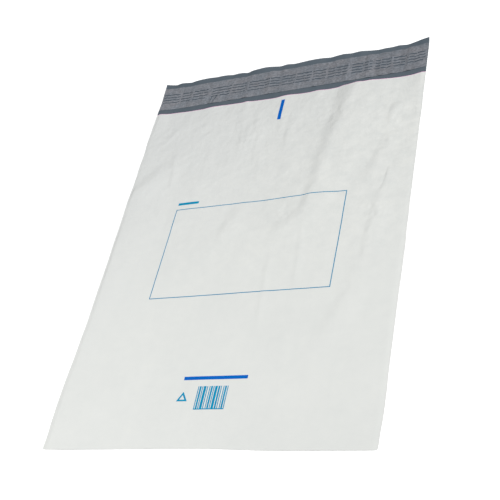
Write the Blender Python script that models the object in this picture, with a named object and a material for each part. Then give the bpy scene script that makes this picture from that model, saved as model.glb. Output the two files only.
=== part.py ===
"""Poly mailer bag lying flat, empty and unsealed.

One sheet of film is folded at the bottom and welded up both sides. The back
panel runs on past the mouth as a lip, which carries an adhesive strip under a
release liner. +X is the width, +Y runs from the bottom fold to the lip and +Z
is up. The origin is at the middle of the bag, on the surface it lies on.
"""
import math

import bmesh
import bpy

MM = 0.001

# Bag
BAG_WIDTH = 325 * MM
POCKET_LENGTH = 430 * MM
FILM = 0.07 * MM
WELD_WIDTH = 5 * MM
POCKET_REST_GAP = 0.3 * MM
POCKET_EDGE_RUN = 10 * MM

# Lip past the mouth, with the adhesive strip under its liner
MOUTH_TO_LINER = 8 * MM
LINER_WIDTH = 35 * MM
LINER_TO_LIP_END = 7 * MM
LINER_THICKNESS = 0.06 * MM
LINER_END_INSET = 0.5 * MM
LINER_OVERHANG = 5 * MM
ADHESIVE_THICKNESS = 0.05 * MM

# Print on the front panel
INK_THICKNESS = 0.04 * MM
FRAME_WIDTH = 191.5 * MM
FRAME_HEIGHT = 114.7 * MM
FRAME_LINE = 0.8 * MM
FRAME_ABOVE_FOLD = 163.3 * MM
FRAME_SHIFT = 1.3 * MM
POSITION_BAR_WIDTH = 4 * MM
POSITION_BAR_LENGTH = 30 * MM
POSITION_BAR_BELOW_MOUTH = 6.5 * MM
POSITION_BAR_SHIFT = 1.4 * MM
TITLE_RULE_LENGTH = 24.5 * MM
TITLE_RULE_WIDTH = 3.2 * MM
TITLE_RULE_ABOVE_FRAME = 6.2 * MM
FOOT_RULE_LENGTH = 64.5 * MM
FOOT_RULE_WIDTH = 3.6 * MM
FOOT_RULE_ABOVE_FOLD = 68.8 * MM
FOOT_PRINT_SHIFT = 2.3 * MM
BAR_BLOCK_WIDTH = 30.4 * MM
BAR_BLOCK_HEIGHT = 23.5 * MM
BAR_BLOCK_BELOW_RULE = 6.8 * MM
BAR_BLOCK_BASE = 1 * MM
MARK_SIDE = 11.2 * MM
MARK_LINE = 1.5 * MM
MARK_TO_BLOCK = 8.4 * MM

# Widths of the block's bars and of the gaps between them, as shares of one another
BAR_WIDTHS = (1, 2, 1, 3, 1, 1, 2, 1, 3, 2, 1, 1, 2, 1)
BAR_GAPS = (1, 1, 1, 1, 2, 1, 1, 1, 1, 1, 2, 1, 1)

# Clearance kept between pieces that touch
CLEARANCE = 0.3 * MM

# How the free film stands off the surface it lies on
LIP_RUFFLE_DEPTH = 7 * MM
SIDE_LIFT_LENGTH = 50 * MM

# Each wave of the lip's free edge: distance from the left edge, half width, height
LIP_WAVES = (
    (0 * MM, 10 * MM, 1.6 * MM),
    (20 * MM, 11 * MM, 1.0 * MM),
    (57 * MM, 24 * MM, 2.2 * MM),
    (78 * MM, 9 * MM, 1.1 * MM),
    (97 * MM, 10 * MM, 1.3 * MM),
    (114 * MM, 8 * MM, 1.0 * MM),
    (131 * MM, 19 * MM, 3.3 * MM),
    (158 * MM, 9 * MM, 1.9 * MM),
    (190 * MM, 25 * MM, 2.3 * MM),
    (225 * MM, 14 * MM, 2.4 * MM),
    (247 * MM, 13 * MM, 2.3 * MM),
    (290 * MM, 10 * MM, 1.1 * MM),
)
RIGHT_CORNER_LIFT = 3.3 * MM
RIGHT_CORNER_RUN = 21 * MM
LEFT_SIDE_LIFT = 1.6 * MM
LEFT_SIDE_RUN = 26 * MM
RIGHT_SIDE_LIFT = 2.4 * MM
RIGHT_SIDE_RUN = 28 * MM

# Each fold of the front panel is a row of stations down from the mouth:
# distance below the mouth, distance from the right edge, height, run to the left, run to the right
MAIN_RIDGE = (
    (0 * MM, 74.5 * MM, 3.8 * MM, 25 * MM, 62 * MM),
    (25 * MM, 81.5 * MM, 3.7 * MM, 21 * MM, 56 * MM),
    (48 * MM, 87.5 * MM, 3.5 * MM, 18 * MM, 52 * MM),
    (110 * MM, 95.5 * MM, 3.2 * MM, 15 * MM, 46 * MM),
    (152 * MM, 98.5 * MM, 2.9 * MM, 15 * MM, 42 * MM),
    (174 * MM, 103.5 * MM, 1.9 * MM, 15 * MM, 38 * MM),
    (189 * MM, 115 * MM, 1.1 * MM, 15 * MM, 34 * MM),
    (210 * MM, 130 * MM, 0.1 * MM, 15 * MM, 30 * MM),
    (430 * MM, 130 * MM, 0.0 * MM, 15 * MM, 30 * MM),
)
RIGHT_FOLD = (
    (55 * MM, 20 * MM, 0.0 * MM, 14 * MM, 15 * MM),
    (120 * MM, 27 * MM, 0.7 * MM, 14 * MM, 20 * MM),
    (185 * MM, 37 * MM, 1.1 * MM, 14 * MM, 26 * MM),
    (235 * MM, 39 * MM, 0.6 * MM, 15 * MM, 26 * MM),
    (295 * MM, 58 * MM, 0.5 * MM, 18 * MM, 26 * MM),
    (355 * MM, 86 * MM, 0.0 * MM, 20 * MM, 26 * MM),
)
LEFT_FOLD = (
    (62 * MM, 276 * MM, 0.0 * MM, 20 * MM, 28 * MM),
    (84 * MM, 290 * MM, 0.9 * MM, 20 * MM, 28 * MM),
    (108 * MM, 314 * MM, 0.9 * MM, 16 * MM, 28 * MM),
    (130 * MM, 324 * MM, 0.0 * MM, 12 * MM, 24 * MM),
)
FOLDS = (MAIN_RIDGE, RIGHT_FOLD, LEFT_FOLD)

# Material slots of the film
OUTSIDE = 0
INSIDE = 1

# Fineness of the film's mesh
COLUMNS_LEFT_OF_RIDGE = 44
COLUMNS_RIGHT_OF_RIDGE = 14
POCKET_ROWS = 36
FOLD_STEPS = 4
LEAST_STEP = 0.3 * MM
PLAN_HEIGHT = 30 * MM
SHARP_ANGLE = math.radians(40)

# Places that follow from the sizes above
LIP_LENGTH = MOUTH_TO_LINER + LINER_WIDTH + LINER_TO_LIP_END
LEFT_X = -BAG_WIDTH / 2
RIGHT_X = BAG_WIDTH / 2
FOLD_Y = -(POCKET_LENGTH + LIP_LENGTH) / 2
MOUTH_Y = FOLD_Y + POCKET_LENGTH
LIP_END_Y = MOUTH_Y + LIP_LENGTH
LINER_LOW_Y = MOUTH_Y + MOUTH_TO_LINER
LINER_HIGH_Y = LINER_LOW_Y + LINER_WIDTH
ADHESIVE_LOW_Y = LINER_LOW_Y + LINER_OVERHANG
ADHESIVE_HIGH_Y = LINER_HIGH_Y - LINER_OVERHANG
LINER_MIDDLE_Y = (LINER_LOW_Y + LINER_HIGH_Y) / 2
RUFFLE_ROW_Y = (LINER_HIGH_Y + LIP_END_Y) / 2
LIP_ROWS = (LINER_LOW_Y, ADHESIVE_LOW_Y, LINER_MIDDLE_Y, ADHESIVE_HIGH_Y,
            LINER_HIGH_Y, RUFFLE_ROW_Y, LIP_END_Y)


def clear_scene():
    for item in list(bpy.data.objects):
        bpy.data.objects.remove(item, do_unlink=True)


def material(name, colour, roughness, metallic=0.0):
    """A Principled material of one colour."""
    made = bpy.data.materials.new(name)
    made.use_nodes = True
    shader = made.node_tree.nodes["Principled BSDF"]
    shader.inputs["Base Color"].default_value = (*colour, 1.0)
    shader.inputs["Roughness"].default_value = roughness
    shader.inputs["Metallic"].default_value = metallic
    return made


def bump(distance, run):
    """1 at distance 0, falling smoothly to 0 at the run."""
    share = min(abs(distance) / run, 1.0)
    return 1.0 - share * share * (3.0 - 2.0 * share)


def along(stations, below_mouth):
    """The values of a row of stations at a distance below the mouth."""
    if below_mouth <= stations[0][0]:
        return stations[0][1:]
    for upper, lower in zip(stations, stations[1:]):
        if below_mouth <= lower[0]:
            share = (below_mouth - upper[0]) / (lower[0] - upper[0])
            return [a + (b - a) * share for a, b in zip(upper[1:], lower[1:])]
    return stations[-1][1:]


def fold_height(stations, x, y):
    """How far one fold raises the front panel at a place."""
    from_right, height, run_left, run_right = along(stations, MOUTH_Y - y)
    distance = x - (RIGHT_X - from_right)
    return height * bump(distance, run_left if distance < 0 else run_right)


def side_lift(x, y):
    """How far the sides of the bag stand off the surface from a little below the mouth."""
    start_y = MOUTH_Y - SIDE_LIFT_LENGTH
    if y <= start_y:
        return 0.0
    left = LEFT_SIDE_LIFT * bump(x - LEFT_X, LEFT_SIDE_RUN)
    right = RIGHT_SIDE_LIFT * bump(x - RIGHT_X, RIGHT_SIDE_RUN)
    return (left + right) * (1.0 - bump(y - start_y, SIDE_LIFT_LENGTH))


def lip_ruffle(x, y):
    """The waves of the lip's free edge, which die out towards the mouth."""
    if y <= MOUTH_Y:
        return 0.0
    here = math.exp((y - LIP_END_Y) / LIP_RUFFLE_DEPTH)
    at_mouth = math.exp(-LIP_LENGTH / LIP_RUFFLE_DEPTH)
    height = RIGHT_CORNER_LIFT * bump(x - RIGHT_X, RIGHT_CORNER_RUN)
    for from_left, half_width, rise in LIP_WAVES:
        height += rise * bump(x - (LEFT_X + from_left), half_width)
    return height * (here - at_mouth)


def back_height(x, y):
    """Height of the film's underside."""
    return side_lift(x, y) + lip_ruffle(x, y)


def pocket_gap(x, y):
    """Space between the two panels, none at the welds."""
    from_weld = min(x - (LEFT_X + WELD_WIDTH), (RIGHT_X - WELD_WIDTH) - x)
    if from_weld <= 0.0:
        return 0.0
    slack = POCKET_REST_GAP + sum(fold_height(fold, x, y) for fold in FOLDS)
    return slack * (1.0 - bump(from_weld, POCKET_EDGE_RUN))


def column_places(y):
    """X of every column of the mesh, with one column on the main ridge's crest."""
    left = LEFT_X + WELD_WIDTH
    right = RIGHT_X - WELD_WIDTH
    crest = RIGHT_X - along(MAIN_RIDGE, MOUTH_Y - y)[0]
    places = [LEFT_X]
    for step in range(COLUMNS_LEFT_OF_RIDGE):
        places.append(left + (crest - left) * step / COLUMNS_LEFT_OF_RIDGE)
    for step in range(COLUMNS_RIGHT_OF_RIDGE + 1):
        places.append(crest + (right - crest) * step / COLUMNS_RIGHT_OF_RIDGE)
    places.append(RIGHT_X)
    return places


def row_places():
    """Y of every row of the mesh, from the bottom fold to the lip's end."""
    pocket = [FOLD_Y + POCKET_LENGTH * step / POCKET_ROWS for step in range(POCKET_ROWS + 1)]
    return pocket + list(LIP_ROWS)


def film_bag(outside, inside):
    """The folded and welded film as one closed solid with an open mouth."""
    mesh = bmesh.new()
    rows = row_places()
    mouth = POCKET_ROWS
    end = len(rows) - 1
    last = len(column_places(MOUTH_Y)) - 1
    under, floor, ceiling, top, outer_arc, inner_arc = {}, {}, {}, {}, {}, {}

    for row, y in enumerate(rows):
        for column, x in enumerate(column_places(y)):
            key = column, row
            at_weld = column < 2 or column > last - 2
            gap = 0.0 if at_weld else pocket_gap(x, y)
            radius = FILM + gap / 2
            place_y = y + radius if row == 0 else y
            low = back_height(x, y)
            under[key] = mesh.verts.new((x, place_y, low))
            if 0 < column < last or row >= mouth:
                floor[key] = mesh.verts.new((x, place_y, low + FILM))
            if row > mouth:
                continue
            top[key] = mesh.verts.new((x, place_y, low + 2 * radius))
            if not at_weld:
                ceiling[key] = mesh.verts.new((x, place_y, low + FILM + gap))
            elif key in floor:
                ceiling[key] = floor[key]
            if row == 0:
                outer_arc[column] = arc(mesh, x, place_y, low + radius, radius)
                inner_arc[column] = [] if at_weld else arc(mesh, x, place_y, low + radius, gap / 2)

    def face(corners, slot):
        mesh.faces.new(corners).material_index = slot

    def panel(layer, first_column, last_column, first_row, last_row, slot):
        for column in range(first_column, last_column):
            for row in range(first_row, last_row):
                face((layer[column, row], layer[column + 1, row],
                      layer[column + 1, row + 1], layer[column, row + 1]), slot)

    panel(under, 0, last, 0, end, OUTSIDE)
    panel(top, 0, last, 0, mouth, OUTSIDE)
    panel(floor, 0, last, mouth, end, INSIDE)
    panel(floor, 1, last - 1, 0, mouth, INSIDE)
    panel(ceiling, 1, last - 1, 0, mouth, INSIDE)

    for column in range(last):
        face((ceiling[column, mouth], ceiling[column + 1, mouth],
              top[column + 1, mouth], top[column, mouth]), OUTSIDE)
        face((under[column, end], under[column + 1, end],
              floor[column + 1, end], floor[column, end]), OUTSIDE)
        near = [under[column, 0], *outer_arc[column], top[column, 0]]
        far = [under[column + 1, 0], *outer_arc[column + 1], top[column + 1, 0]]
        bridge(face, near, far, OUTSIDE)
    for column in range(1, last - 1):
        near = [floor[column, 0], *inner_arc[column], ceiling[column, 0]]
        far = [floor[column + 1, 0], *inner_arc[column + 1], ceiling[column + 1, 0]]
        bridge(face, near, far, INSIDE)

    for column in (0, last):
        face((under[column, 0], *outer_arc[column], top[column, 0]), OUTSIDE)
        for row in range(end):
            upper = top if row < mouth else floor
            corners = [under[column, row], under[column, row + 1], upper[column, row + 1], upper[column, row]]
            if row + 1 == mouth:
                corners.insert(2, floor[column, mouth])
            face(corners, OUTSIDE)
    bmesh.ops.recalc_face_normals(mesh, faces=mesh.faces)
    return finish_mesh(mesh, "film_bag", (outside, inside))


def arc(mesh, x, y, z, radius):
    """Points of the bottom fold between its under and its upper side."""
    points = []
    for step in range(1, FOLD_STEPS):
        angle = math.pi * (step / FOLD_STEPS - 0.5)
        points.append(mesh.verts.new((x, y - radius * math.cos(angle), z + radius * math.sin(angle))))
    return points


def bridge(face, near, far, slot):
    """Faces between two rows of points, of which one may be a single point at a weld."""
    if len(near) < len(far):
        for lower, upper in zip(far, far[1:]):
            face((near[0], lower, upper), slot)
    elif len(far) < len(near):
        for lower, upper in zip(near, near[1:]):
            face((far[0], upper, lower), slot)
    else:
        for index in range(len(near) - 1):
            face((near[index], far[index], far[index + 1], near[index + 1]), slot)


def finish_mesh(mesh, name, materials):
    """Turns a bmesh into an object shaded smooth, with its sharp edges kept."""
    data = bpy.data.meshes.new(name)
    mesh.to_mesh(data)
    mesh.free()
    data.shade_smooth()
    data.set_sharp_from_angle(angle=SHARP_ANGLE)
    for item in materials:
        data.materials.append(item)
    made = bpy.data.objects.new(name, data)
    bpy.context.collection.objects.link(made)
    return made


def laid_on(made, film, lift, thickness):
    """Drops a flat plan onto the film's upper side and gives it its thickness."""
    drop = made.modifiers.new("laid on the film", "SHRINKWRAP")
    drop.target = film
    drop.wrap_method = "PROJECT"
    drop.wrap_mode = "ABOVE_SURFACE"
    drop.use_project_z = True
    drop.use_negative_direction = True
    drop.use_positive_direction = False
    drop.offset = lift
    solid = made.modifiers.new("thickness", "SOLIDIFY")
    solid.thickness = thickness
    solid.offset = 1.0
    return made


def plan_grid(name, places_x, places_y, made_of):
    """A flat grid of faces over the given places."""
    mesh = bmesh.new()
    points = [[mesh.verts.new((x, y, PLAN_HEIGHT)) for x in places_x] for y in places_y]
    for lower, upper in zip(points, points[1:]):
        for index in range(len(places_x) - 1):
            mesh.faces.new((lower[index], lower[index + 1], upper[index + 1], upper[index]))
    return finish_mesh(mesh, name, (made_of,))


def between(low, high, places):
    """The given places that lie between two ends, with the ends."""
    inner = [place for place in places if low + LEAST_STEP < place < high - LEAST_STEP]
    return [low] + inner + [high]


def lip_strip(name, film, made_of, end_inset, low, high, lift, thickness):
    """A strip along the lip, with its points over those of the film."""
    places_x = between(LEFT_X + end_inset, RIGHT_X - end_inset, column_places(MOUTH_Y))
    made = plan_grid(name, places_x, between(low, high, row_places()), made_of)
    return laid_on(made, film, lift, thickness)


def printed_bar(name, film, made_of, left, right, low, high):
    """A plain bar of ink."""
    places_x = between(left, right, column_places((low + high) / 2))
    made = plan_grid(name, places_x, between(low, high, row_places()), made_of)
    return laid_on(made, film, CLEARANCE, INK_THICKNESS)


def address_frame(film, made_of):
    """The thin rectangle that marks the place of the address."""
    left, right = FRAME_SHIFT - FRAME_WIDTH / 2, FRAME_SHIFT + FRAME_WIDTH / 2
    low = FOLD_Y + FRAME_ABOVE_FOLD
    high = low + FRAME_HEIGHT
    route = [(x, low, 0, -1) for x in between(left, right, column_places(low))[1:-1]]
    route.append((right, low, 1, -1))
    route += [(right, y, 1, 0) for y in between(low, high, row_places())[1:-1]]
    route.append((right, high, 1, 1))
    route += [(x, high, 0, 1) for x in reversed(between(left, right, column_places(high))[1:-1])]
    route.append((left, high, -1, 1))
    route += [(left, y, -1, 0) for y in reversed(between(low, high, row_places())[1:-1])]
    route.append((left, low, -1, -1))
    mesh = bmesh.new()
    half = FRAME_LINE / 2
    ring = []
    for x, y, out_x, out_y in route:
        ring.append((mesh.verts.new((x + out_x * half, y + out_y * half, PLAN_HEIGHT)),
                     mesh.verts.new((x - out_x * half, y - out_y * half, PLAN_HEIGHT))))
    close_ring(mesh, ring)
    made = finish_mesh(mesh, "address_frame", (made_of,))
    return laid_on(made, film, CLEARANCE, INK_THICKNESS)


def close_ring(mesh, ring):
    """Faces between the outer and the inner points of a closed line."""
    for here, there in zip(ring, ring[1:] + ring[:1]):
        mesh.faces.new((here[0], there[0], there[1], here[1]))


def bar_block(film, made_of):
    """A row of wide and narrow bars standing on a thin base line."""
    high = FOLD_Y + FOOT_RULE_ABOVE_FOLD - BAR_BLOCK_BELOW_RULE
    low = high - BAR_BLOCK_HEIGHT
    unit = BAR_BLOCK_WIDTH / (sum(BAR_WIDTHS) + sum(BAR_GAPS))
    edges = []
    start = FOOT_PRINT_SHIFT - BAR_BLOCK_WIDTH / 2
    for width, gap in zip(BAR_WIDTHS, (*BAR_GAPS, 0)):
        edges += [start, start + width * unit]
        start += (width + gap) * unit
    levels = [low, *between(low + BAR_BLOCK_BASE, high, row_places())]
    mesh = bmesh.new()
    points = {(column, level): mesh.verts.new((x, y, PLAN_HEIGHT))
              for level, y in enumerate(levels)
              for column, x in enumerate(edges)}
    for column in range(len(edges) - 1):
        is_bar = column % 2 == 0
        for level in range(len(levels) - 1 if is_bar else 1):
            mesh.faces.new((points[column, level], points[column + 1, level],
                            points[column + 1, level + 1], points[column, level + 1]))
    made = finish_mesh(mesh, "bar_block", (made_of,))
    return laid_on(made, film, CLEARANCE, INK_THICKNESS)


def corner_mark(film, made_of):
    """A plain open triangle beside the bar block."""
    middle_x = FOOT_PRINT_SHIFT - BAR_BLOCK_WIDTH / 2 - MARK_TO_BLOCK - MARK_SIDE / 2
    middle_y = FOLD_Y + FOOT_RULE_ABOVE_FOLD - BAR_BLOCK_BELOW_RULE - BAR_BLOCK_HEIGHT / 2
    outer_radius = MARK_SIDE / math.sqrt(3)
    inner_radius = outer_radius - 2 * MARK_LINE
    mesh = bmesh.new()
    ring = []
    for corner in range(3):
        angle = math.pi / 2 + corner * 2 * math.pi / 3
        ring.append([mesh.verts.new((middle_x + radius * math.cos(angle),
                                     middle_y + radius * math.sin(angle), PLAN_HEIGHT))
                     for radius in (outer_radius, inner_radius)])
    close_ring(mesh, ring)
    made = finish_mesh(mesh, "corner_mark", (made_of,))
    return laid_on(made, film, CLEARANCE, INK_THICKNESS)


def main():
    clear_scene()
    film_white = material("white film", (0.72, 0.74, 0.72), 0.42)
    film_grey = material("grey inner film", (0.09, 0.12, 0.13), 0.45)
    adhesive = material("adhesive", (0.55, 0.53, 0.45), 0.3)
    liner = material("liner", (0.22, 0.205, 0.22), 0.35)
    blue = material("blue ink", (0.0, 0.1, 0.5), 0.4)

    film = film_bag(film_white, film_grey)
    lip_strip("adhesive_strip", film, adhesive, WELD_WIDTH + LINER_END_INSET,
              ADHESIVE_LOW_Y, ADHESIVE_HIGH_Y, CLEARANCE, ADHESIVE_THICKNESS)
    lip_strip("release_liner", film, liner, LINER_END_INSET,
              LINER_LOW_Y, LINER_HIGH_Y, 2 * CLEARANCE + ADHESIVE_THICKNESS, LINER_THICKNESS)
    address_frame(film, blue)
    bar_high = MOUTH_Y - POSITION_BAR_BELOW_MOUTH
    bar_left = POSITION_BAR_SHIFT - POSITION_BAR_WIDTH / 2
    printed_bar("position_bar", film, blue, bar_left, bar_left + POSITION_BAR_WIDTH,
                bar_high - POSITION_BAR_LENGTH, bar_high)
    title_low = FOLD_Y + FRAME_ABOVE_FOLD + FRAME_HEIGHT + TITLE_RULE_ABOVE_FRAME
    title_left = FRAME_SHIFT - FRAME_WIDTH / 2
    printed_bar("title_rule", film, blue, title_left, title_left + TITLE_RULE_LENGTH,
                title_low, title_low + TITLE_RULE_WIDTH)
    rule_low = FOLD_Y + FOOT_RULE_ABOVE_FOLD
    rule_left = FOOT_PRINT_SHIFT - FOOT_RULE_LENGTH / 2
    printed_bar("foot_rule", film, blue, rule_left, rule_left + FOOT_RULE_LENGTH,
                rule_low, rule_low + FOOT_RULE_WIDTH)
    bar_block(film, blue)
    corner_mark(film, blue)


main()
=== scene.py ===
"""Looks of a poly mailer bag that lies flat: creased film, ruffled lip, liner and print."""
import math

import bmesh
import bpy
import numpy as np
from mathutils import Matrix, Vector
from mathutils.bvhtree import BVHTree


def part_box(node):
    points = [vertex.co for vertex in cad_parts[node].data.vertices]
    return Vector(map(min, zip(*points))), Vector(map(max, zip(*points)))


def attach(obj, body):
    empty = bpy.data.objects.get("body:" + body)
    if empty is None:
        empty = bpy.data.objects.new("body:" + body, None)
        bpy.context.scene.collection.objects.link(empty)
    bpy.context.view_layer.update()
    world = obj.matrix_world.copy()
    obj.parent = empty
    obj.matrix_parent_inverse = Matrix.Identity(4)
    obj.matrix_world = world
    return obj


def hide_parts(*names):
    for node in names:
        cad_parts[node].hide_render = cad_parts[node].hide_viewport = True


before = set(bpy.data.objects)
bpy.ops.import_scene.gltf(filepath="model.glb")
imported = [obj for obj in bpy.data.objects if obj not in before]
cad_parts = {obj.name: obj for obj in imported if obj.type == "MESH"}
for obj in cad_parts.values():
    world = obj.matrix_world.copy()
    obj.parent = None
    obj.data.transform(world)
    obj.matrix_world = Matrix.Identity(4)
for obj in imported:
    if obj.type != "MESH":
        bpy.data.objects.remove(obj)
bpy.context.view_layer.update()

MM = 0.001

# Sizes and places taken from the frame
film_low, film_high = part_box("film_bag")
liner_low, liner_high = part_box("release_liner")
glue_low, glue_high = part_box("adhesive_strip")
LEFT_X, RIGHT_X = film_low.x, film_high.x
FOLD_Y, LIP_END_Y = film_low.y, film_high.y
POCKET_LENGTH = 430 * MM
MOUTH_Y = FOLD_Y + POCKET_LENGTH
LIP_LENGTH = LIP_END_Y - MOUTH_Y

# Film
FILM = 0.07 * MM
WELD_WIDTH = 0.8 * MM
FOLD_STEPS = 5
FOLD_CORNER_RADII, FOLD_CORNER_RUN = (1.2 * MM, 2.5 * MM), 12 * MM
# The slot of the mouth's cut edge, and of a thin band on the top just below it, takes a painted pinkish
# highlight
OUTSIDE, INSIDE, CUT_HIGHLIGHT = 0, 1, 2
SHARP_ANGLE = 40.0

# Columns of the film's mesh, with places in mm: closer at the welds and at the creases on the right
WELD_COLUMNS = 3
SIDE_COLUMNS, SIDE_TO_INNER = (0.0, 0.7, 1.4, 2.2, 3.2, 4.6), 2.0
MAIN_END, MAIN_COLUMNS = 116.0, 136
CREASE_START, CREASE_END, CREASE_COLUMNS = 117.2, 139.2, 21
RIGHT_START, RIGHT_COLUMNS = 141.1, 8
# Rows of the film's mesh, in the same way: closer at the bottom fold, in the upper pocket and at the lip
FOLD_ROWS = (0.0, 0.4, 1.0, 1.8, 2.8, 4.0)
PLAIN_END, PLAIN_STEP = -110.0, 4.2
BUSY_TO_MOUTH, BUSY_ROWS = 3.0, 160
MOUTH_ROWS = (1.6, 0.6, 0.0)
LIP_ROWS, LIP_ROW_CROWDING = 27, 1.35

# Space between the panels
POCKET_REST_GAP, POCKET_LEAST_GAP = 0.3 * MM, 0.12 * MM
POCKET_EDGE_RUN, POCKET_SIDE_RUN = 4 * MM, 60 * MM
POCKET_AIR, POCKET_AIR_LENGTH = 0.5 * MM, 50 * MM
MOUTH_CALM_LENGTH = 25 * MM
CRUMPLE_SIDE_RUN = 12 * MM
# Waviness of the loose film in mm, from broad to fine, and how it grows from a calm share to all of it
WAVINESS = (0.35, 0.32, 0.24, 0.13)
CALM_SHARE = 0.3
LIVELY_START, LIVELY_LENGTH = 130 * MM, 220 * MM

# Adhesive strip and liner: height over the lip's film, and thickness
GLUE_LIFT, GLUE_THICKNESS = 0.1 * MM, 0.05 * MM
LINER_LIFT, LINER_THICKNESS = 0.25 * MM, 0.06 * MM
STRIP_ROWS = 23

# Print: lift and thickness, then its grid step and the widths of its lines in mm
INK_LIFT, INK_THICKNESS = 0.05 * MM, 0.02 * MM
PRINT_STEP = 1.2
FRAME_LINE, BAR_BASE, MARK_LINE = 0.82, 1.0, 1.7
# Widths and gaps of the bars, in units that fill the block
BAR_WIDTHS = (1, 2, 1, 3, 1, 1, 2, 1, 3, 2, 1, 1, 2, 1)
BAR_GAPS = (1, 1, 1, 1, 2, 1, 1, 1, 1, 1, 2, 1, 1)
# Height from which the places of print on the film and the liner are found
RAY_START = 100 * MM

# Dashes on the liner: lift and thickness, then sizes and places in mm, and shares of the height
DASH_LIFT, DASH_THICKNESS = 0.01 * MM, 0.01 * MM
DASH_STEP = 1.5
DASH_HEIGHT, DASH_HEIGHT_SHARES = 1.35, (0.85, 1.15)
DASH_LENGTHS, DASH_LEAST, DASH_GAPS = (6.0, 18.0), 1.0, (0.4, 0.8)
DASH_ROW_WANDER, DASH_END_WANDER = 0.15, 0.6
DASH_WAVE, DASH_WAVE_LENGTH = 0.3, 9.0
DASH_ROWS = (208.6, 212.8, 217.1, 221.3)
DASH_BLOCKS = ((-160, -138.5), (-136, -124), (-121, -101.5), (-96, -70.5), (-69, -52), (-48, -24.5),
               (-23.5, -9.5), (-6.5, 9), (10.5, 28.5), (31.5, 46.5), (49, 72), (77, 89.5), (91, 100),
               (103.5, 121.5), (124, 137.5), (139.5, 159.5))
# Painted shadow lines where the liner is pinched, in the dark dash ink: low end, high end and width, in mm
PINCH_SHADOWS = ((-92.2, 198.3, -88.4, 210.4, 1.6), (-96.0, 201.0, -94.4, 209.0, 0.9))
PINCH_SHADOW_STEP = 1.0

# Colours
# The last film colour is painted shade, darker and cooler, laid over the upper left
FILM_WHITE, FILM_SHADE, FILM_COOL_SHADE = (0.77, 0.783, 0.757), (0.72, 0.737, 0.717), (0.742, 0.758, 0.748)
GREY_DARK, GREY_LIGHT = (0.093, 0.121, 0.147), (0.12, 0.146, 0.172)
LINER_BLUE, LINER_MAUVE = (0.205, 0.224, 0.254), (0.234, 0.24, 0.263)
GLUE_PALE, GLUE_PALE_LIGHT = (0.5, 0.48, 0.4), (0.56, 0.54, 0.46)
# Painted pinkish highlight along the mouth's cut edge, in two tones
HIGHLIGHT_MAUVE, HIGHLIGHT_MAUVE_LIGHT = (0.78, 0.46, 0.65), (0.84, 0.52, 0.71)
# Dark ink of the liner's dash print, also used for the painted shadows of its pinches
DASH_AND_SHADOW_DARK, DASH_AND_SHADOW_LIGHT = (0.065, 0.088, 0.11), (0.085, 0.108, 0.132)
SOLID_BLUE, SOLID_BLUE_LIGHT = (0.0, 0.115, 0.51), (0.0, 0.135, 0.55)
THIN_BLUE, THIN_BLUE_LIGHT = (0.0, 0.21, 0.4), (0.0, 0.24, 0.44)
BAR_BLUE, BAR_BLUE_LIGHT = (0.0, 0.25, 0.455), (0.0, 0.3, 0.51)

# Surfaces: depth in metres and strength of each crinkle
FILM_CRINKLE, GREY_CRINKLE, LINER_CRINKLE = (0.0006, 0.8), (0.00015, 0.6), (0.0003, 0.8)
# How the grain grows towards the mouth, the painted shade that turns the white darker and cooler towards
# the upper left, and how the liner darkens towards the right: the values at both ends, then where the ends
# are
GRAIN_RISE = (0.3, 2.3, -0.08, 0.16)
UPPER_LEFT_SHADE = (0.0, 1.0, -0.02, 0.3)
LINER_SHADE = (1.05, 0.95, -0.15, 0.08)

# Lights: name, place, aim, size and power
LIGHTS = (("key", (1.34, 0.0, 1.34), (0.0, 0.0, 0.0), 1.0, 28.4),
          ("fill", (-0.4, -0.25, 0.6), (0.0, 0.0, 0.0), 0.5, 2.55))
WORLD_LIGHT = 0.19
# Floor, and its glow: the strength near the bag and far off, then the distances of both
FLOOR_HALF, FLOOR_DROP, FLOOR_GREY = 12.0, 0.1 * MM, 0.9
FLOOR_GLOW = (0.2, 1.0, 0.15, 0.6)

# Camera, worked out from the bag's corners in the photograph
CAMERA_AIM = (4.9 * MM, -24.8 * MM, 0.0)
CAMERA_DISTANCE = 963.2 * MM
CAMERA_HEADING = -36.47
CAMERA_ELEVATION = 44.71
CAMERA_ROLL = 32.68
CAMERA_LENS = 70.44
CAMERA_SENSOR = 36.0
CAMERA_NEAR = 0.01


def bump(distance, run):
    """1 at distance 0, falling smoothly to 0 at the run."""
    share = np.clip(np.abs(distance) / run, 0.0, 1.0)
    return 1.0 - share * share * (3.0 - 2.0 * share)


def ramp(distance, run):
    """0 up to distance 0, rising smoothly to 1 at the run."""
    share = np.clip(distance / run, 0.0, 1.0)
    return share * share * (3.0 - 2.0 * share)


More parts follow.
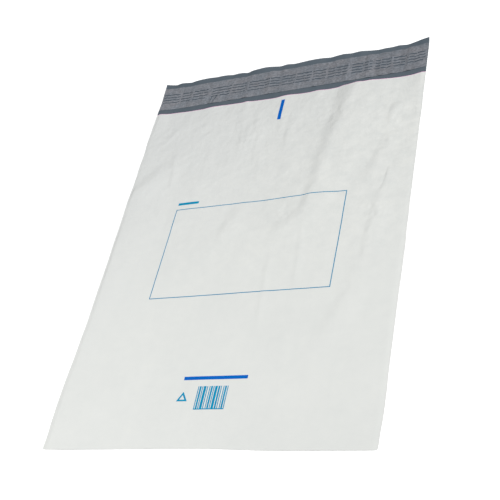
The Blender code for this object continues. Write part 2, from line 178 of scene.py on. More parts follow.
# Each fold of the front panel: how round it is on the left and right of its crest, from 0 for a crease
# to 2, then the route of the crest from the lip towards the bottom fold: x, y, height, run on the left,
# run on the right, in mm
FOLDS = (
    # the long ridge that starts at the mouth and bends to the left at its end
    ((2.0, 1.0), ((88, 192, 4.2, 26, 76), (83, 165, 4.5, 22, 80), (79.5, 145, 4.2, 20, 84),
                  (76, 130, 3.6, 19, 80), (72, 105, 2.5, 20, 64), (67, 80, 2.1, 17, 50),
                  (62, 48, 1.8, 13, 36), (58, 28, 1.4, 10, 32), (56, 14, 1.1, 11, 34),
                  (46, 6, 1.0, 15, 28), (36, 1, 0.8, 15, 24), (26, -6, 0.0, 12, 22))),
    # the broad rise round its lower half
    ((2.0, 2.0), ((80, 150, 0.0, 60, 50), (68, 95, 1.1, 85, 50), (65, 55, 1.6, 75, 48),
                  (62, 30, 1.1, 66, 46), (57, 0, 0.5, 60, 44), (54, -55, 0.0, 60, 40))),
    # the small fold that runs down from its end
    ((1.8, 1.8), ((38, 10, 0.0, 10, 16), (31, 0, 0.4, 10, 16), (26, -12, 0.3, 10, 16),
                  (21, -24, 0.0, 9, 16))),
    # fine creases below it
    ((0.5, 1.5), ((56, 14, 0.0, 3, 8), (56, -5, 0.45, 3, 8), (58, -60, 0.4, 3, 8), (59, -85, 0.0, 3, 8))),
    ((0.8, 1.5), ((26, -20, 0.0, 4, 9), (27, -45, 0.4, 4, 9), (29, -100, 0.4, 4, 9),
                  (33, -125, 0.0, 4, 9))),
    # creases along the right side
    ((0.3, 1.0), ((137.5, 66, 0.0, 2, 12), (136.5, 58, 0.7, 2, 14), (134.7, 44, 0.7, 2, 16),
                  (132, 35, 0.6, 2.5, 16), (125, 27, 0.0, 4, 16))),
    ((1.8, 1.6), ((132, 31, 0.0, 6, 12), (131, 21, 0.6, 8, 14), (130, 8, 1.3, 9, 16),
                  (128.5, -4, 0.9, 8, 18), (126, -18, 0.65, 6, 18), (125, -34, 0.65, 6, 20),
                  (123.5, -54, 0.0, 6, 20))),
    ((1.2, 1.5), ((141, 20, 0.0, 4, 8), (139, 8, 0.35, 4, 8), (136, -8, 0.0, 4, 8))),
    ((1.8, 1.8), ((124, -46, 0.0, 12, 22), (117, -75, 0.6, 12, 24), (111, -100, 0.95, 12, 24),
                  (98, -128, 0.6, 14, 26), (80, -172, 0.0, 14, 26))),
    ((1.8, 1.8), ((138, 113, 0.0, 6, 16), (132, 104, 0.8, 8, 18), (125, 84, 0.85, 8, 18),
                  (119.5, 64, 0.8, 9, 18), (110, 40, 0.0, 9, 18))),
    ((1.6, 1.8), ((154, 150, 0.0, 6, 14), (140, 147, 0.6, 8, 14), (122, 145, 0.0, 8, 14))),
    ((1.6, 1.8), ((137, 156, 0.0, 8, 14), (135, 142, 1.0, 8, 16), (133, 128, 0.8, 8, 16),
                  (132, 114, 0.0, 8, 14))),
    ((1.6, 1.8), ((150, 140, 0.0, 6, 12), (148, 128, 0.4, 6, 12), (144, 112, 0.0, 6, 12))),
    # the bend at the upper left, then the crease that it turns into
    ((2.0, 2.0), ((-104, 108, 0.0, 16, 26), (-119, 105, 0.6, 17, 28), (-132, 94, 1.2, 17, 28),
                  (-143, 82, 1.8, 15, 28), (-153, 70, 1.4, 14, 28), (-158, 60, 0.4, 14, 28))),
    ((1.2, 1.8), ((-118, 140, 0.0, 4, 12), (-118, 124, 0.5, 4, 12), (-116, 104, 0.7, 4, 12),
                  (-113, 88, 0.65, 3, 12), (-113, 66, 0.0, 3, 12))),
    ((1.8, 1.8), ((-114, 190, 0.0, 6, 12), (-118, 174, 0.35, 6, 12), (-126, 150, 0.0, 6, 12))),
    ((1.6, 1.8), ((-128, 172, 0.0, 5, 10), (-129, 158, 0.25, 5, 10), (-129, 144, 0.0, 5, 10))),
    # the rounded left side
    ((2.0, 2.0), ((-149, 185, 0.1, 30, 40), (-149, 100, 0.1, 30, 40), (-149, 50, 0.2, 30, 45),
                  (-149, 10, 1.05, 30, 50), (-149, -40, 1.0, 30, 50), (-149, -100, 0.4, 30, 50),
                  (-149, -240, 0.25, 30, 40))),
    # upright ripples below the mouth
    ((1.6, 1.8), ((-42, 168, 0.0, 5, 14), (-40, 150, 0.75, 5, 14), (-38, 126, 0.65, 5, 14),
                  (-36, 104, 0.0, 5, 14))),
    ((1.6, 1.8), ((-25, 174, 0.0, 4, 12), (-24, 152, 0.8, 4, 12), (-25, 124, 0.7, 4, 12),
                  (-24, 104, 0.0, 4, 12))),
    ((1.4, 1.6), ((-33, 166, 0.0, 3, 9), (-32, 150, 0.5, 3, 9), (-32, 118, 0.55, 3, 9),
                  (-31, 98, 0.0, 3, 9))),
    ((1.4, 1.6), ((-18, 152, 0.0, 3, 9), (-18, 132, 0.5, 3, 9), (-18, 104, 0.5, 3, 9),
                  (-16, 84, 0.0, 3, 9))),
    ((1.6, 1.8), ((-14, 122, 0.0, 4, 12), (-12, 104, 0.5, 4, 12), (-9, 82, 0.4, 4, 12),
                  (-7, 64, 0.0, 4, 12))),
    ((1.6, 1.8), ((17, 160, 0.0, 4, 12), (16.5, 130, 0.7, 4, 12), (19, 84, 0.0, 4, 12))),
    ((2.0, 2.0), ((-12, 42, 0.0, 11, 14), (-21, 24, 0.85, 11, 26), (-28, 6, 1.1, 11, 26),
                  (-35, -14, 0.0, 10, 12))),
)
# Crumpled places of the front panel: x, y, half width, half height and roughness, in mm
CRUMPLES = ((127, 8, 13, 18, 0.7), (124, -22, 12, 34, 0.25), (134, 146, 26, 14, 0.3),
            (138, 124, 20, 22, 0.4), (126, 96, 16, 26, 0.4), (70, 146, 16, 44, 0.6), (37, 17, 20, 20, 0.8),
            (-26, 12, 18, 26, 0.3), (-138, 150, 30, 26, 0.35), (-66, 150, 34, 26, 0.3),
            (15, 150, 34, 28, 0.35), (-30, 140, 30, 36, 0.4), (-100, 110, 60, 60, 0.15),
            (108, -80, 14, 30, 0.3), (-110, 40, 60, 50, 0.1))
# Folds of the liner alone, in the same way
LINER_FOLDS = (
    ((0.6, 1.0), ((-84, 213, 0.0, 4, 7), (-87, 208, 0.8, 4, 7), (-91, 200, 0.8, 4, 7),
                  (-93, 195, 0.1, 4, 7))),
    ((0.6, 1.0), ((-90, 213, 0.0, 3, 5), (-92, 208, 0.5, 3, 5), (-96, 200, 0.5, 3, 5),
                  (-98, 195, 0.1, 3, 5))),
    ((1.4, 1.4), ((-70, 236, 0.5, 4, 8), (-70, 196, 0.4, 4, 8))),
    ((1.0, 1.4), ((-47, 236, 0.4, 3, 8), (-53, 196, 0.7, 3, 8))),
    ((1.4, 1.4), ((-21, 236, 1.1, 6, 10), (-22, 204, 1.0, 6, 10), (-22, 196, 0.3, 6, 10))),
    ((1.4, 1.4), ((-7, 236, 0.4, 3, 7), (-7, 196, 0.4, 3, 7))),
    ((1.4, 1.4), ((33, 236, 0.4, 3, 7), (34, 196, 0.5, 3, 7))),
    ((1.4, 1.4), ((58, 236, 0.5, 4, 8), (58, 196, 0.3, 4, 8))),
    ((1.4, 1.4), ((74, 236, 1.0, 7, 8), (72, 204, 0.9, 7, 8), (72, 196, 0.3, 7, 8))),
    ((1.4, 1.4), ((97, 236, 1.1, 6, 9), (96, 204, 1.0, 6, 9), (96, 196, 0.3, 6, 9))),
    ((1.4, 1.4), ((110, 236, 0.4, 3, 8), (110, 196, 0.5, 3, 8))),
    ((1.4, 1.4), ((122, 236, 0.4, 3, 8), (122, 196, 0.4, 3, 8))),
    ((1.2, 1.4), ((141.5, 236, 1.1, 5, 9), (141, 204, 1.1, 5, 9), (141, 196, 0.4, 5, 9))),
)

# The lip's free edge: x and height, in mm
LIP_EDGE = ((-162.5, 3.45), (-156, 1.65), (-150, 0.45), (-143, 1.75), (-136, 1.15), (-130, 0.35),
            (-124, 1.35), (-105, 2.45), (-95, 1.95), (-88, 2.15), (-80, 1.85), (-75, 1.05), (-66, 1.55),
            (-60, 1.25), (-55, 0.25), (-49, 1.95), (-40, 3.05), (-31, 3.65), (-22, 2.75), (-13, 1.35),
            (-4, 2.45), (4, 1.45), (15, 2.05), (25, 2.65), (40, 2.35), (49, 1.35), (57, 2.35), (65, 2.95),
            (72, 2.15), (85, 2.75), (96, 1.15), (105, 0.35), (112, 0.85), (120, 0.75), (128, 1.45),
            (137, 0.55), (145, 2.05), (154, 4.25), (162.5, 5.85))
# Waves of the mouth's upper edge: x, half width, height, in mm
MOUTH_WAVES = ((-162, 20, 0.8), (-88, 16, 1.2), (-45, 7, 0.8), (4, 17, 0.9), (42, 11, 0.8), (160, 16, 0.5))
MOUTH_WAVE_DEPTH = 14 * MM
# How far the edges lie from straight lines: y or x, and the distance, in mm
LEFT_EDGE = ((-240, -0.4), (-228, -0.2), (-212, -0.9), (-190, -1.3), (-165, -1.05), (-140, -0.1),
             (-120, 0.1), (-100, 0.75), (-84, 0.5), (-60, 0.25), (-20, 0.3), (4, -0.3), (20, -0.25),
             (40, -0.5), (60, -1.0), (84, -0.35), (95, -0.4), (108, -0.9), (120, -0.8), (130, -0.55),
             (140, -1.2), (148, -1.5), (156, -1.15), (172, -0.35), (182, 0.2), (196, 0.25), (212, 0.85),
             (222, 0.4), (240, 0.7))
RIGHT_EDGE = ((-240, 0.8), (-225, 1.1), (-212, 1.7), (-190, 1.8), (-165, 1.3), (-150, 1.25), (-100, 1.0),
              (-50, 1.15), (-30, 1.1), (-20, 0.6), (0, 0.5), (20, 0.05), (36, 0.1), (60, -0.15),
              (84, -0.1), (100, -0.25), (120, -0.45), (140, -0.3), (160, -0.5), (180, 0.0), (205, -0.35),
              (240, -0.1))
FOLD_EDGE = ((-162, -0.6), (-140, -1.0), (-110, -0.6), (-75, -0.1), (-25, 0.55), (15, 0.5), (40, -0.15),
             (70, -0.85), (92, -0.65), (120, -0.45), (162, -0.15))
MOUTH_EDGE = ((-162.5, 0.9), (-155, 0.6), (-148, 0.4), (-140, 0.7), (-132, 0.6), (-124, 0.1), (-110, 0.0),
              (-98, 0.0), (-85, 0.2), (-76, 0.9), (-66, 0.6), (-55, 0.25), (-40, 0.1), (-32, -0.35),
              (-22, -0.7), (-8, -0.85), (0, -0.2), (12, -0.05), (25, -0.4), (40, -0.25), (55, -0.35),
              (65, 0.1), (71, 0.6), (76, -0.2), (82, -0.75), (90, -0.4), (95, -0.8), (102, -0.15),
              (112, -0.55), (125, -0.7), (140, -0.4), (152, -0.65), (162.5, 0.5))
FOLD_EDGE_RUN, MOUTH_EDGE_RUN = 60 * MM, 6 * MM
LIP_RUFFLE_DEPTH, LIP_RUFFLE_REST = 7 * MM, 0.001
LIP_RIPPLE = 0.3 * MM
SIDE_LIFT_LENGTH, SIDE_LIFT_MARGIN = 50 * MM, 4 * MM
LEFT_SIDE_LIFT, LEFT_SIDE_RUN = 1.6 * MM, 26 * MM
RIGHT_SIDE_LIFT, RIGHT_SIDE_RUN = 2.4 * MM, 28 * MM

RANDOM_SEED = 11
random = np.random.default_rng(RANDOM_SEED)


def noise_field(cells_x, cells_y):
    """A smooth random height field over the bag, as a function of x and y."""
    values = random.uniform(-1.0, 1.0, (cells_y + 3, cells_x + 3))

    def sample(x, y):
        u = np.clip((x - LEFT_X) / (RIGHT_X - LEFT_X), 0.0, 1.0) * cells_x
        v = np.clip((y - FOLD_Y) / (LIP_END_Y - FOLD_Y), 0.0, 1.0) * cells_y
        column, row = np.floor(u).astype(int), np.floor(v).astype(int)
        share_u, share_v = u - column, v - row
        share_u = share_u * share_u * (3 - 2 * share_u)
        share_v = share_v * share_v * (3 - 2 * share_v)
        low = values[row, column] * (1 - share_u) + values[row, column + 1] * share_u
        high = values[row + 1, column] * (1 - share_u) + values[row + 1, column + 1] * share_u
        return low * (1 - share_v) + high * share_v

    return sample


# Random waves, by their number of cells across and along the bag
BROAD_NOISE = noise_field(6, 9)
WIDE_NOISE = noise_field(11, 15)
MIDDLE_NOISE = noise_field(22, 30)
FINE_NOISE = noise_field(44, 62)
CRUMPLE_NOISE = noise_field(78, 116)
LIP_NOISE = noise_field(34, 10)


def along(place, table):
    """Smooth values between the places of a table."""
    places, values = (np.array(column) * MM for column in zip(*table))
    slopes = np.gradient(values, places)
    index = np.clip(np.searchsorted(places, place) - 1, 0, len(places) - 2)
    width = places[index + 1] - places[index]
    s = np.clip((place - places[index]) / width, 0.0, 1.0)
    from_low = (1 + 2 * s) * values[index] + s * width * slopes[index]
    from_high = (3 - 2 * s) * values[index + 1] + (s - 1) * width * slopes[index + 1]
    return (1 - s) ** 2 * from_low + s * s * from_high


def crest_height(fold, x, y):
    """Height of one fold: it follows its route and falls off on both sides of it."""
    (round_left, round_right), route = fold
    height = np.zeros_like(x)
    nearest = np.full_like(x, np.inf)
    for start, stop in zip(route, route[1:]):
        ax, ay, bx, by = (value * MM for value in (start[0], start[1], stop[0], stop[1]))
        dx, dy = bx - ax, by - ay
        length = math.hypot(dx, dy)
        share = np.clip(((x - ax) * dx + (y - ay) * dy) / length ** 2, 0.0, 1.0)
        away_x, away_y = x - (ax + share * dx), y - (ay + share * dy)
        distance = np.hypot(away_x, away_y)
        on_right = dx * away_y - dy * away_x > 0
        here, run_left, run_right = (start[k] + (stop[k] - start[k]) * share for k in (2, 3, 4))
        run = np.where(on_right, run_right, run_left) * MM
        across = np.clip(distance / run, 0.0, 1.0)
        roundness = np.where(on_right, round_right, round_left)
        raised = here * MM * (1.0 - across) ** 2 * (1.0 + roundness * across)
        closer = distance < nearest
        height = np.where(closer, raised, height)
        nearest = np.where(closer, distance, nearest)
    return height


def back_height(x, y):
    """Height of the underside: flat, lifted at the sides near the mouth, and ruffled at the lip's end."""
    rise = ramp(y - (MOUTH_Y - SIDE_LIFT_LENGTH), SIDE_LIFT_LENGTH)
    lift = LEFT_SIDE_LIFT * bump(x - LEFT_X, LEFT_SIDE_RUN)
    lift = lift + RIGHT_SIDE_LIFT * bump(x - RIGHT_X, RIGHT_SIDE_RUN)
    lip = ramp(y - MOUTH_Y, LIP_LENGTH)
    edge = along(x, LIP_EDGE) - lift
    near_end = np.exp((y - LIP_END_Y) / LIP_RUFFLE_DEPTH) - (1.0 - lip) * LIP_RUFFLE_REST
    near_end = np.clip(near_end, 0.0, 1.0)
    ripple = LIP_RIPPLE * (LIP_NOISE(x, y) + 1.0) * lip * (1.0 - near_end)
    return np.maximum(lift * rise + edge * near_end + ripple, 0.0)


def roughness_at(x, y):
    """How rough the front panel is: most in the middle of each crumpled place."""
    rough = np.zeros_like(x)
    for across, up, half_width, half_height, roughness in CRUMPLES:
        distance = np.hypot((x / MM - across) / half_width, (y / MM - up) / half_height)
        rough = rough + roughness * MM * bump(distance, 1.0)
    return rough


def pocket_gap(x, y):
    """Space between the panels."""
    from_weld = np.minimum(x - (LEFT_X + WELD_WIDTH), (RIGHT_X - WELD_WIDTH) - x)
    inside = ramp(from_weld, POCKET_EDGE_RUN)
    off_side = ramp(from_weld, POCKET_SIDE_RUN)
    off_mouth = ramp(MOUTH_Y - y, MOUTH_CALM_LENGTH)
    liveliness = CALM_SHARE + (1.0 - CALM_SHARE) * ramp(y - FOLD_Y - LIVELY_START, LIVELY_LENGTH)
    broad, wide, middle, fine = WAVINESS
    loose = broad * BROAD_NOISE(x, y) + liveliness * (
        wide * WIDE_NOISE(x, y) + middle * MIDDLE_NOISE(x, y) + fine * FINE_NOISE(x, y))
    air = POCKET_AIR * off_side * ramp(y - FOLD_Y, POCKET_AIR_LENGTH)
    folds = sum(crest_height(fold, x, y) for fold in FOLDS)
    waves = sum(height * MM * bump(x - place * MM, half * MM) for place, half, height in MOUTH_WAVES)
    waves = waves * np.exp((y - MOUTH_Y) / MOUTH_WAVE_DEPTH)
    gap = POCKET_REST_GAP + folds + waves + air * off_mouth
    gap = gap + loose * MM * off_side * (CALM_SHARE + (1.0 - CALM_SHARE) * off_mouth)
    crumples = roughness_at(x, y) * CRUMPLE_NOISE(x, y)
    gap = gap + crumples * ramp(from_weld, CRUMPLE_SIDE_RUN) * off_mouth
    return np.maximum(gap, POCKET_LEAST_GAP) * inside


def spread_x(x, y):
    """Place of a point across the bag: the sides wander a little, and the corners at the fold are round."""
    share = (x - LEFT_X) / (RIGHT_X - LEFT_X)
    moved = x + along(y, LEFT_EDGE) * (1.0 - share) + along(y, RIGHT_EDGE) * share
    for side, radius in zip((-1, 1), FOLD_CORNER_RADII):
        from_fold = np.clip(y - FOLD_Y, 0.0, radius)
        inset = radius - np.sqrt(radius ** 2 - (radius - from_fold) ** 2)
        corner = LEFT_X if side < 0 else RIGHT_X
        moved = moved - side * inset * bump(x - corner, FOLD_CORNER_RUN)
    return moved


def spread_y(x, y):
    """Place of a point along the bag: the bottom fold and the mouth's edge wander a little."""
    fold = along(x, FOLD_EDGE) * bump(y - FOLD_Y, FOLD_EDGE_RUN)
    return y + fold + along(x, MOUTH_EDGE) * bump(y - MOUTH_Y, MOUTH_EDGE_RUN)


def column_places():
    """Columns of the film's mesh, from the left edge to the right one."""
    weld = [WELD_WIDTH * k / WELD_COLUMNS for k in range(WELD_COLUMNS)]
    side = WELD_WIDTH + np.array(SIDE_COLUMNS) * MM
    wide = side[-1] + SIDE_TO_INNER * MM
    inner = [LEFT_X + side, np.linspace(LEFT_X + wide, MAIN_END * MM, MAIN_COLUMNS),
             np.linspace(CREASE_START, CREASE_END, CREASE_COLUMNS) * MM,
             np.linspace(RIGHT_START * MM, RIGHT_X - wide, RIGHT_COLUMNS), RIGHT_X - side[::-1]]
    return np.concatenate([[LEFT_X + w for w in weld], *inner, [RIGHT_X - w for w in reversed(weld)]])


def row_places():
    """Rows of the film's mesh: the rows of the pocket, then those of the lip."""
    corner = FOLD_Y + np.array(FOLD_ROWS) * MM
    plain_end, step = PLAIN_END * MM, PLAIN_STEP * MM
    plain = np.arange(corner[-1] + step, plain_end - step / 2, step)
    busy = np.linspace(plain_end, MOUTH_Y - BUSY_TO_MOUTH * MM, BUSY_ROWS)
    mouth = MOUTH_Y - np.array(MOUTH_ROWS) * MM
    shares = np.linspace(0.0, 1.0, LIP_ROWS)[1:]
    lip = MOUTH_Y + LIP_LENGTH * (1.0 - (1.0 - shares) ** LIP_ROW_CROWDING)
    return np.concatenate([corner, plain, busy, mouth]), lip


def quads(index):
    """Faces between the neighbours of a grid of point numbers."""
    corners = (index[:-1, :-1], index[:-1, 1:], index[1:, 1:], index[1:, :-1])
    return np.stack([corner.ravel() for corner in corners], 1).tolist()


class Shape:
    """Gathers points and faces for one mesh object."""

    def __init__(self):
        self.points, self.count, self.faces, self.slots = [], 0, [], []

    def add_points(self, x, y, z):
        """Adds points and gives their numbers, in the layout of x."""
        index = self.count + np.arange(x.size).reshape(x.shape)
        self.points.append(np.stack([x.ravel(), y.ravel(), z.ravel()], 1))
        self.count += x.size
        return index

    def add_faces(self, faces, slot=0):
        """Adds faces that share one material slot."""
        self.faces += faces
        self.slots += [slot] * len(faces)

    def add_slab(self, x, y, base, thickness):
        """A closed thin slab over a grid of places."""
        lower = self.add_points(x, y, base)
        upper = self.add_points(x, y, base + thickness)
        self.add_faces(quads(lower) + quads(upper))
        rim = np.concatenate([lower[0], lower[1:, -1], lower[-1, -2::-1], lower[-2::-1, 0]])
        self.add_faces(quads(np.stack([rim, rim + x.size])))

    def build(self, name, finishes):
        """Makes the object: faces point out, and only sharp edges show."""
        data = bpy.data.meshes.new(name)
        data.from_pydata(np.concatenate(self.points).tolist(), [], self.faces)
        for finish in finishes:
            data.materials.append(finish)
        data.polygons.foreach_set("material_index", self.slots)
        mesh = bmesh.new()
        mesh.from_mesh(data)
        bmesh.ops.recalc_face_normals(mesh, faces=mesh.faces)
        mesh.to_mesh(data)
        mesh.free()
        data.shade_smooth()
        data.set_sharp_from_angle(angle=math.radians(SHARP_ANGLE))
        made = bpy.data.objects.new(name, data)
        bpy.context.scene.collection.objects.link(made)
        return made


def film_object(outside, inside, cut_highlight):
    """The film as one closed solid: folded at the bottom, welded at the sides, open at the mouth."""
    shape = Shape()
    pocket_rows, lip_rows = row_places()
    columns = column_places()
    last, mouth = len(columns) - 1, len(pocket_rows) - 1
    end = mouth + len(lip_rows)
    x, y = np.meshgrid(columns, np.concatenate([pocket_rows, lip_rows]))
    low = back_height(x, y)
    gap = pocket_gap(x[:mouth + 1], y[:mouth + 1])
    gap[:, :WELD_COLUMNS + 1] = 0.0
    gap[:, last - WELD_COLUMNS:] = 0.0
    radius = FILM + gap[0] / 2
    place_x, place_y = spread_x(x, y), spread_y(x, y)
    place_y[0] += radius
    first, final = WELD_COLUMNS, last - WELD_COLUMNS
    lifted = int(np.searchsorted(pocket_rows, MOUTH_Y - SIDE_LIFT_LENGTH - SIDE_LIFT_MARGIN))

    def layer(kept, height):
        """Numbers of a layer's points, with -1 where it has none."""
        index = np.full(x.shape, -1)
        index[kept] = shape.add_points(place_x[kept], place_y[kept], height[kept])
        return index

    kept = np.ones(x.shape, bool)
    kept[1:lifted, 1:last] = False
    under = layer(kept, low)
    kept = np.ones(x.shape, bool)
    kept[:mouth, :first] = False
    kept[:mouth, final + 1:] = False
    kept[1:lifted, first + 1:final] = False
    floor = layer(kept, low + FILM)
    full_gap = np.zeros(x.shape)
    full_gap[:mouth + 1] = gap
    kept = np.zeros(x.shape, bool)
    kept[:mouth + 1] = True
    top = layer(kept, low + 2 * FILM + full_gap)
    kept[:, :first + 1] = False
    kept[:, final:] = False
    ceiling = layer(kept, low + FILM + full_gap)
    ceiling = np.where(ceiling < 0, floor, ceiling)

    def outline(index, left, right):
        """A face round the flat part of a layer."""
        ring = [index[0, left:right + 1], index[1:lifted, right],
                index[lifted, left:right + 1][::-1], index[1:lifted, left][::-1]]
        return [np.concatenate(ring).tolist()]

    shape.add_faces(outline(under, 0, last), OUTSIDE)
    shape.add_faces(quads(under[lifted:]), OUTSIDE)
    shape.add_faces(quads(top[:mouth]), OUTSIDE)
    # Painted highlight: the top's last thin band at the mouth, in the cut edge's pinkish colour
    shape.add_faces(quads(top[mouth - 1:mouth + 1]), CUT_HIGHLIGHT)
    shape.add_faces(outline(floor, first, final), INSIDE)
    shape.add_faces(quads(floor[lifted:mouth + 1, first:final + 1]), INSIDE)
    shape.add_faces(quads(floor[mouth:]), INSIDE)
    shape.add_faces(quads(ceiling[:mouth + 1, first:final + 1]), INSIDE)
    shape.add_faces(quads(np.stack([ceiling[mouth], top[mouth]])), CUT_HIGHLIGHT)
    shape.add_faces(quads(np.stack([under[end], floor[end]])), OUTSIDE)

    angles = math.pi * (np.arange(1, FOLD_STEPS) / FOLD_STEPS - 0.5)[:, None]

    def arc(index, middle, bend):
        """Points round the bottom fold, between its lower and its upper edge."""
        along_x = np.broadcast_to(place_x[0, index], (FOLD_STEPS - 1, index.size))
        along_y = place_y[0, index] - bend * np.cos(angles)
        return shape.add_points(along_x, along_y, middle + bend * np.sin(angles))

    every = np.arange(last + 1)
    outer = arc(every, low[0] + radius, radius)
    shape.add_faces(quads(np.vstack([under[0], outer, top[0]])), OUTSIDE)
    inner_columns = np.arange(first + 1, final)
    inner = arc(inner_columns, (low[0] + radius)[inner_columns], gap[0, inner_columns] / 2)
    rolled = np.vstack([floor[0, inner_columns], inner, ceiling[0, inner_columns]])
    shape.add_faces(quads(rolled), INSIDE)
    for tip, column in ((floor[0, first], rolled[:, 0]), (floor[0, final], rolled[:, -1])):
        shape.add_faces([[int(tip), int(a), int(b)] for a, b in zip(column, column[1:])], INSIDE)

    for column in (0, last):
        shape.add_faces([[int(under[0, column]), *outer[:, column].tolist(), int(top[0, column])]], OUTSIDE)
        upper = np.where(np.arange(end + 1) < mouth, top[:, column], floor[:, column])
        for row in range(end):
            corners = [under[row, column], under[row + 1, column], upper[row + 1], upper[row]]
            if row + 1 == mouth:
                corners.insert(3, top[mouth, column])
            shape.add_faces([[int(corner) for corner in corners]], OUTSIDE)
    return shape.build("film", (outside, inside, cut_highlight))


def drop(surface, x, y):
    """Height of a surface seen from above at each place."""
    down = Vector((0.0, 0.0, -1.0))
    hits = [surface.ray_cast(Vector((a, b, RAY_START)), down)[0] for a, b in zip(x.ravel(), y.ravel())]
    return np.array([hit.z for hit in hits]).reshape(x.shape)


def tree_of(made):
    """A search tree over an object's faces."""
    points = [vertex.co.copy() for vertex in made.data.vertices]
    return BVHTree.FromPolygons(points, [tuple(face.vertices) for face in made.data.polygons])


def slab(name, patches, lift, thickness, surface, finish):
    """Closed thin patches laid on a surface, as one object. A patch is its grid of places."""
    shape = Shape()
    for x, y in patches:
        shape.add_slab(x, y, drop(surface, x, y) + lift, thickness)
    return shape.build(name, (finish,))


def patch(corners, step):
    """Grid of places inside four corners, in mm, with cells no longer than the step."""
    a, b, c, d = (np.array(corner) * MM for corner in corners)
    across = max(1, math.ceil(max(np.linalg.norm(b - a), np.linalg.norm(c - d)) / (step * MM)))
    up = max(1, math.ceil(max(np.linalg.norm(d - a), np.linalg.norm(c - b)) / (step * MM)))
    u, v = np.meshgrid(np.linspace(0, 1, across + 1), np.linspace(0, 1, up + 1))
    place = [a[k] * (1 - u) * (1 - v) + b[k] * u * (1 - v) + c[k] * u * v + d[k] * (1 - u) * v
             for k in (0, 1)]
    return place[0], place[1]


def bar(left, low, right, high, step=PRINT_STEP):
    """An upright rectangle as a patch, in mm."""
    return patch(((left, low), (right, low), (right, high), (left, high)), step)


def lip_strip(name, low, high, lift, thickness, finish, folds=()):
    """A strip along the lip that follows its waves, between the corners of its node."""
    columns = column_places()
    columns = np.sort(np.concatenate([columns, (columns[1:] + columns[:-1]) / 2]))
    end_inset = low.x - LEFT_X
    inner = columns[(columns > LEFT_X + end_inset) & (columns < RIGHT_X - end_inset)]
    ends = np.array([LEFT_X, RIGHT_X]) + np.array([1, -1]) * end_inset
    rows = np.linspace(low.y, high.y, STRIP_ROWS)
    x, y = np.meshgrid(np.concatenate([ends[:1], inner, ends[1:]]), rows)
    base = back_height(x, y) + FILM + lift + sum(crest_height(fold, x, y) for fold in folds)
    shape = Shape()
    shape.add_slab(spread_x(x, y), y, base, thickness)
    return shape.build(name, (finish,))


# Materials
class Nodes:
    """Short way to add and link the nodes of one material."""

    def __init__(self, name):
        self.material = bpy.data.materials.new(name)
        self.material.use_nodes = True
        self.tree = self.material.node_tree
        self.shader = self.tree.nodes["Principled BSDF"]
        self.place = self.tree.nodes.new("ShaderNodeTexCoord").outputs["Object"]

    def add(self, kind, values=(), links=(), **settings):
        """A new node with its settings, input values and incoming links."""
        made = self.tree.nodes.new("ShaderNode" + kind)
        for key, value in settings.items():
            setattr(made, key, value)
        for key, value in dict(values).items():
            made.inputs[key].default_value = value
        for key, source in dict(links).items():
            self.tree.links.new(source, made.inputs[key])
        return made

    def noise(self, scale, stretch=(1, 1, 1), detail=3.0, roughness=0.5):
        """A noise whose grain can be stretched along the axes."""
        moved = self.add("Mapping", {"Scale": stretch}, {"Vector": self.place})
        values = {"Scale": scale, "Detail": detail, "Roughness": roughness}
        return self.add("TexNoise", values, {"Vector": moved.outputs["Vector"]}).outputs["Fac"]

    def spread(self, value, low, high, from_low=0.3, from_high=0.7):
        """The value moved to another range."""
        values = {"From Min": from_low, "From Max": from_high, "To Min": low, "To Max": high}
        return self.add("MapRange", values, {"Value": value}).outputs["Result"]

    def math(self, operation, first, second):
        """A sum, product or difference of links or numbers."""
        made = self.add("Math", operation=operation)
        for index, item in enumerate((first, second)):
            if isinstance(item, (int, float)):
                made.inputs[index].default_value = item
            else:
                self.tree.links.new(item, made.inputs[index])
        return made.outputs["Value"]

    def mix(self, factor, low, high):
        """A colour between two others."""
        made = self.add("Mix", data_type="RGBA")
        self.tree.links.new(factor, made.inputs["Factor"])
        for key, colour in (("A", low), ("B", high)):
            socket = [s for s in made.inputs if s.name == key and s.type == "RGBA"][0]
            if isinstance(colour, tuple):
                socket.default_value = (*colour, 1.0)
            else:
                self.tree.links.new(colour, socket)
        return [s for s in made.outputs if s.type == "RGBA"][0]

    def bump(self, height, depth, strength):
        """A height that only bends the shading."""
        made = self.add("Bump", {"Strength": strength, "Distance": depth}, {"Height": height})
        self.tree.links.new(made.outputs["Normal"], self.shader.inputs["Normal"])

    def finish(self, colour, roughness, **values):
        """Connects the colour and the roughness, and gives the material."""
        self.tree.links.new(colour, self.shader.inputs["Base Color"])
        if isinstance(roughness, float):
            self.shader.inputs["Roughness"].default_value = roughness
        else:
            self.tree.links.new(roughness, self.shader.inputs["Roughness"])
        for key, value in values.items():
            self.shader.inputs[key.replace("_", " ")].default_value = value
        return self.material


